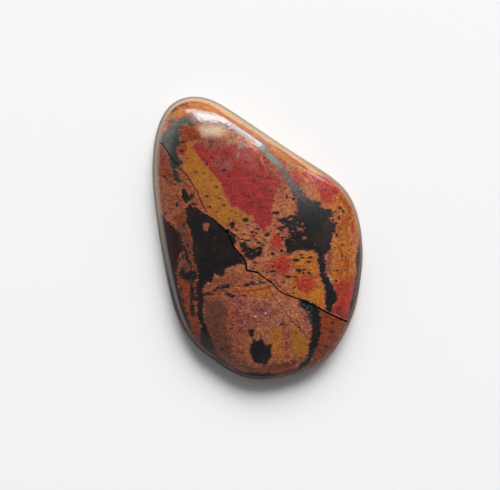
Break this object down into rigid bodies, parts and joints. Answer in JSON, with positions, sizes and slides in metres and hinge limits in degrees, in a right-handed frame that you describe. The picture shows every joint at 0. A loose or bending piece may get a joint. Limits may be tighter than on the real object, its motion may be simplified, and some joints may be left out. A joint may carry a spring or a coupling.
{
  "type": "mugglestone cabochon",
  "caption": "Freeform polished stone with a flat back and a low domed face, in ochre, red and black banded ironstone with hairline healed fractures.",
  "frame": {"origin": "middle of the flat ground back, at the centre of the stone's bounding box in plan", "axes": "+Z out of the domed face, +Y towards the narrow end, +X to the right when the face is seen with the narrow end up"},
  "size_m": [0.0192, 0.0258, 0.0039],
  "materials": {
    "stone": "polished, patterned in ochre, rust, crimson and iron black; the back is ground matte"
  },
  "bodies": {
    "root": {"mugglestone": "stone"}
  },
  "joints": []
}
